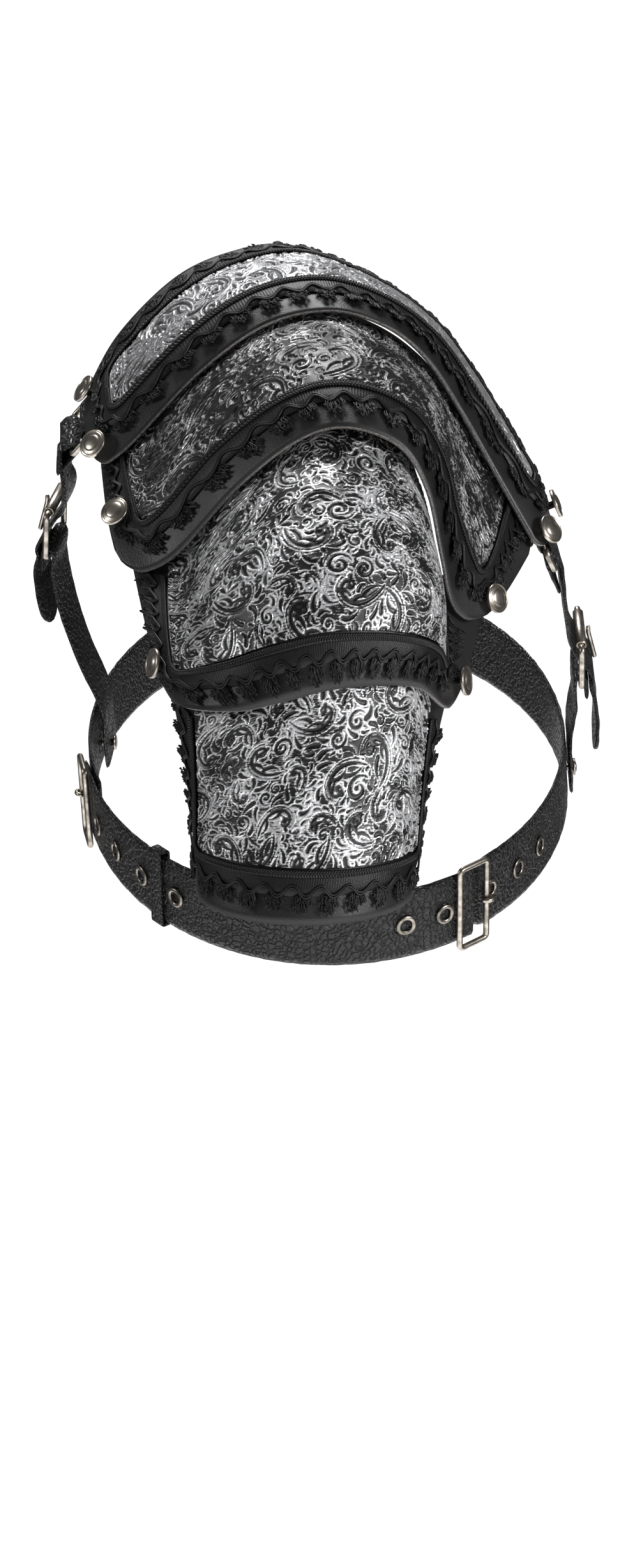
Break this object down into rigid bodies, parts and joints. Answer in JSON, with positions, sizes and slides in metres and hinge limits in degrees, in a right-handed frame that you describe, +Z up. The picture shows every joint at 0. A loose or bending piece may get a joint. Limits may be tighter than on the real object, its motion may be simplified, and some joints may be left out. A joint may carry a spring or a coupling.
{
  "type": "layered leather pauldron with chest harness",
  "caption": "Right-shoulder pauldron of three overlapping leather lames and an upper-arm cuff, with embossed panels, tufted braid and a buckled chest harness.",
  "frame": {"origin": "the seat: a point on the inner face of the top lame, at the middle of its crest, where it rests on the wearer's right shoulder", "axes": "+X is the wearer's forward direction, +Y runs from the right arm towards the left arm, +Z is up"},
  "size_m": [0.3158, 0.4741, 0.3949],
  "materials": {
    "black_leather": "smooth black faux leather with a fine grain",
    "silver_rubbed_leather": "embossed scrollwork, silver foil rubbed over black",
    "black_braid": "matt black textile braid with looped tufts",
    "crackled_leather": "black strap leather with a crackled, waxed surface",
    "antiqued_nickel": "darkened nickel plate, worn bright on the edges"
  },
  "bodies": {
    "root": {"belt_buckle_front": "antiqued_nickel", "belt_buckle_rear": "antiqued_nickel", "belt_far": "crackled_leather", "belt_near": "crackled_leather", "belt_prong_front": "antiqued_nickel", "belt_prong_rear": "antiqued_nickel", "buckle_front": "antiqued_nickel", "buckle_rear": "antiqued_nickel", "cap_front_1_2": "antiqued_nickel", "cap_front_2_3": "antiqued_nickel", "cap_front_3_4": "antiqued_nickel", "cap_front_strap": "antiqued_nickel", "cap_rear_1_2": "antiqued_nickel", "cap_rear_2_3": "antiqued_nickel", "cap_rear_3_4": "antiqued_nickel", "cap_rear_strap": "antiqued_nickel", "eyelet_1": "antiqued_nickel", "eyelet_2": "antiqued_nickel", "eyelet_3": "antiqued_nickel", "eyelet_4": "antiqued_nickel", "eyelet_5": "antiqued_nickel", "eyelet_6": "antiqued_nickel", "eyelet_7": "antiqued_nickel", "eyelet_8": "antiqued_nickel", "eyelet_9": "antiqued_nickel", "keeper": "crackled_leather", "lame_1": "black_leather", "lame_2": "black_leather", "lame_3": "black_leather", "lame_4": "black_leather", "lower_strap_front": "crackled_leather", "lower_strap_rear": "crackled_leather", "panel_1": "silver_rubbed_leather", "panel_2": "silver_rubbed_leather", "panel_3": "silver_rubbed_leather", "panel_4": "silver_rubbed_leather", "prong_front": "antiqued_nickel", "prong_rear": "antiqued_nickel", "ring_front": "antiqued_nickel", "ring_rear": "antiqued_nickel", "ring_tab_front": "crackled_leather", "ring_tab_rear": "crackled_leather", "roller_front": "antiqued_nickel", "roller_rear": "antiqued_nickel", "strap_rivet_front": "antiqued_nickel", "strap_rivet_rear": "antiqued_nickel", "trim_1": "black_braid", "trim_2": "black_braid", "trim_3": "black_braid", "trim_4": "black_braid", "upper_strap_front": "crackled_leather", "upper_strap_rear": "crackled_leather"}
  },
  "joints": []
}
